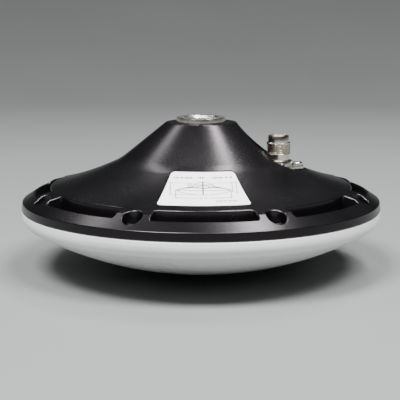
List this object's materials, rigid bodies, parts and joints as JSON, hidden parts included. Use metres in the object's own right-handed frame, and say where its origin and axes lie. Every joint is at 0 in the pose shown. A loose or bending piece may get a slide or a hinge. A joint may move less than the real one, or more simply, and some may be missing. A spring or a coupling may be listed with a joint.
{
  "type": "gnss receiver antenna",
  "caption": "Survey satellite antenna head lying on its white radome, with a black cone-shaped base, a pole thread in its top and a threaded coaxial jack in a side recess.",
  "frame": {"origin": "lowest point of the radome, on the antenna's axis, where the part rests when it lies upside down", "axes": "+Z along the antenna's axis out of the pole thread, which is towards the ground when the antenna is in use; +X from the axis towards the coaxial jack; -Y towards the label"},
  "size_m": [0.165, 0.165, 0.0699],
  "materials": {
    "base_black": "fine moulded texture, satin",
    "radome_white": "smooth satin white",
    "seal_rubber": "matt",
    "screw_black": "black oxide",
    "brass": "turned",
    "nickel": "nickel plate, turned",
    "label_paper": "matt printed film",
    "screw_steel": "bright",
    "ptfe": "waxy white",
    "gold": "gold plate",
    "coax_jacket": "brown translucent FEP",
    "aluminium_sheet": "brushed sheet",
    "patch_laminate": "off-white filled laminate",
    "copper": "rolled copper",
    "nylon": "natural nylon",
    "board_green": "solder mask",
    "shield_tin": "tin plate",
    "chip_black": "moulded",
    "filter_ceramic": "ceramic body with metal lid"
  },
  "bodies": {
    "root": {"base_shell": "base_black", "radome": "radome_white", "rim_seal": "seal_rubber", "case_screws": "screw_black", "screw_inserts": "brass", "info_label": "label_paper", "pole_insert": "nickel", "insert_seal": "seal_rubber", "insert_locknut": "brass", "jack_shell": "nickel", "jack_insulator": "ptfe", "jack_contact": "gold", "jack_gasket": "seal_rubber", "jack_screws": "screw_steel", "coax_pigtail": "coax_jacket", "pigtail_plug": "gold", "board_socket": "gold", "ground_plane": "aluminium_sheet", "ground_plane_screws": "screw_steel", "lower_patch_board": "patch_laminate", "lower_patch_copper": "copper", "lower_patch_spacers": "nylon", "upper_patch_board": "patch_laminate", "upper_patch_copper": "copper", "upper_patch_spacers": "nylon", "centre_stud": "brass", "centre_spacer": "brass", "centre_nut": "brass", "lower_feed_pins": "brass", "upper_feed_pins": "brass", "lna_board": "board_green", "board_spacers": "nylon", "board_screws": "screw_steel", "shield_frame": "shield_tin", "shield_lid": "shield_tin", "amplifier_chips": "chip_black", "saw_filters": "filter_ceramic", "hybrid_couplers": "filter_ceramic", "power_inductor": "chip_black", "voltage_regulator": "chip_black"}
  },
  "joints": []
}
